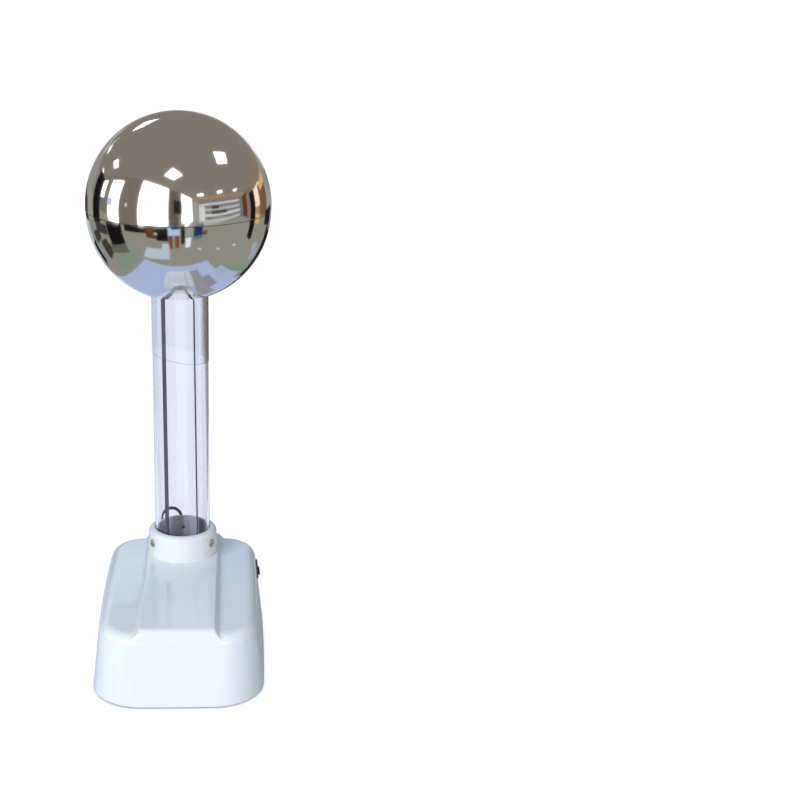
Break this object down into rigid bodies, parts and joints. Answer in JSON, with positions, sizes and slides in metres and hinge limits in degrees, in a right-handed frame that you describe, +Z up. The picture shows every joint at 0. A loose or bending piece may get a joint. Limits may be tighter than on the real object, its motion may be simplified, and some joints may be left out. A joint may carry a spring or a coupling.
{
  "type": "van de graaff generator",
  "caption": "Bench electrostatic generator: a motor-driven belt in a clear column charges a polished lift-off sphere, on a moulded white base with switch and rear sockets.",
  "frame": {"origin": "centre of the bounding box at the level of the bench, under the feet", "axes": "+Z up along the column, -Y to the front, +X to the side with the switch"},
  "size_m": [0.2, 0.309, 0.592],
  "materials": {
    "white_gloss": "smooth gloss white",
    "plate_grey": "powder-coated grey",
    "panel_grey": "satin light grey",
    "screw_steel": "zinc plated",
    "foot_rubber": "matt black",
    "motor_paint": "satin dark grey",
    "shaft_steel": "ground steel",
    "cradle_plastic": "moulded black nylon",
    "strap_steel": "zinc plated spring steel",
    "coupling_aluminium": "turned",
    "lower_roller_plastic": "turned white plastic",
    "bearing_steel": "ground, shielded",
    "stand_aluminium": "milled",
    "comb_brass": "cut sheet",
    "belt_rubber": "matt dark grey rubber",
    "collar_metal": "turned and satin lacquered",
    "brass_screw": "turned",
    "clear_column": "clear acrylic, polished",
    "tinted_film": "thin tinted film",
    "lead_insulation": "dark navy insulation",
    "tinned_tag": "tinned",
    "ball_chrome": "mirror polished",
    "bracket_plastic": "machined grey plastic",
    "upper_roller_plastic": "turned grey plastic",
    "leaf_bronze": "spring bronze",
    "switch_black": "fine texture",
    "rocker_black": "satin",
    "inlet_black": "moulded",
    "socket_black": "moulded",
    "pin_brass": "plated",
    "nut_plastic": "moulded"
  },
  "bodies": {
    "base": {"axle_nuts": "screw_steel", "axle_spacers": "bracket_plastic", "base_housing": "white_gloss", "bottom_plate": "plate_grey", "bottom_plate_screws": "screw_steel", "bracket_screws": "screw_steel", "collar_fixing_screws": "screw_steel", "collar_lead": "lead_insulation", "collar_screws": "brass_screw", "column_tube": "clear_column", "comb_screws": "screw_steel", "contact_leaf": "leaf_bronze", "cradle_screws": "screw_steel", "drive_belt": "belt_rubber", "earth_contact": "pin_brass", "earth_socket": "socket_black", "earth_tag": "tinned_tag", "earth_tag_screw": "screw_steel", "film_sleeve": "tinted_film", "front_bearing_stand": "stand_aluminium", "fuse_holder": "inlet_black", "inlet_pins": "pin_brass", "inlet_screws": "screw_steel", "lead_grommet": "foot_rubber", "lead_lug": "tinned_tag", "lower_bearings": "bearing_steel", "lower_comb": "comb_brass", "lower_hemisphere": "ball_chrome", "mains_inlet": "inlet_black", "motor_body": "motor_paint", "motor_cradle": "cradle_plastic", "motor_straps": "strap_steel", "neck_clamp": "stand_aluminium", "neck_screws": "screw_steel", "panel_nuts": "nut_plastic", "rear_bearing_stand": "stand_aluminium", "rear_panel": "panel_grey", "rear_panel_screws": "screw_steel", "rubber_feet": "foot_rubber", "stand_screws": "screw_steel", "strap_screws": "screw_steel", "switch_body": "switch_black", "tube_collar": "collar_metal", "upper_axle": "shaft_steel", "upper_bracket": "bracket_plastic", "upper_comb": "comb_brass", "upper_comb_screw": "screw_steel"},
    "drive_shaft": {"motor_shaft": "shaft_steel", "shaft_coupling": "coupling_aluminium", "coupling_screws": "screw_steel", "drive_axle": "shaft_steel", "drive_axle_clip": "strap_steel", "lower_roller": "lower_roller_plastic"},
    "upper_roller": {"upper_roller": "upper_roller_plastic", "roller_bearings": "bearing_steel"},
    "dome": {"upper_dome": "ball_chrome"},
    "rocker": {"switch_rocker": "rocker_black"},
    "fuse": {"fuse_cap": "inlet_black"}
  },
  "joints": [
    {"name": "drive_spin", "type": "hinge", "parent": "base", "child": "drive_shaft", "pos_m": [0, 0.0545, 0.042], "axis": [0, 1, 0], "continuous": true},
    {"name": "upper_roller_spin", "type": "hinge", "parent": "base", "child": "upper_roller", "pos_m": [-0.002, 0.0545, 0.47], "axis": [0, 1, 0], "continuous": true},
    {"name": "dome_lift", "type": "slide", "parent": "base", "child": "dome", "axis": [0, 0, 1], "range_m": [0, 0.15]},
    {"name": "switch_rock", "type": "hinge", "parent": "base", "child": "rocker", "pos_m": [0.08496, 0.0615, 0.062], "axis": [-0.1073, 0, 0.9942], "range_deg": [-20, 0]},
    {"name": "fuse_turn", "type": "hinge", "parent": "base", "child": "fuse", "pos_m": [0.0182, 0.114, 0.04], "axis": [0, 1, 0], "range_deg": [0, 90]}
  ],
  "couplings": [
    {"joint": "upper_roller_spin", "follows": "drive_spin", "ratio": 1.0312}
  ]
}
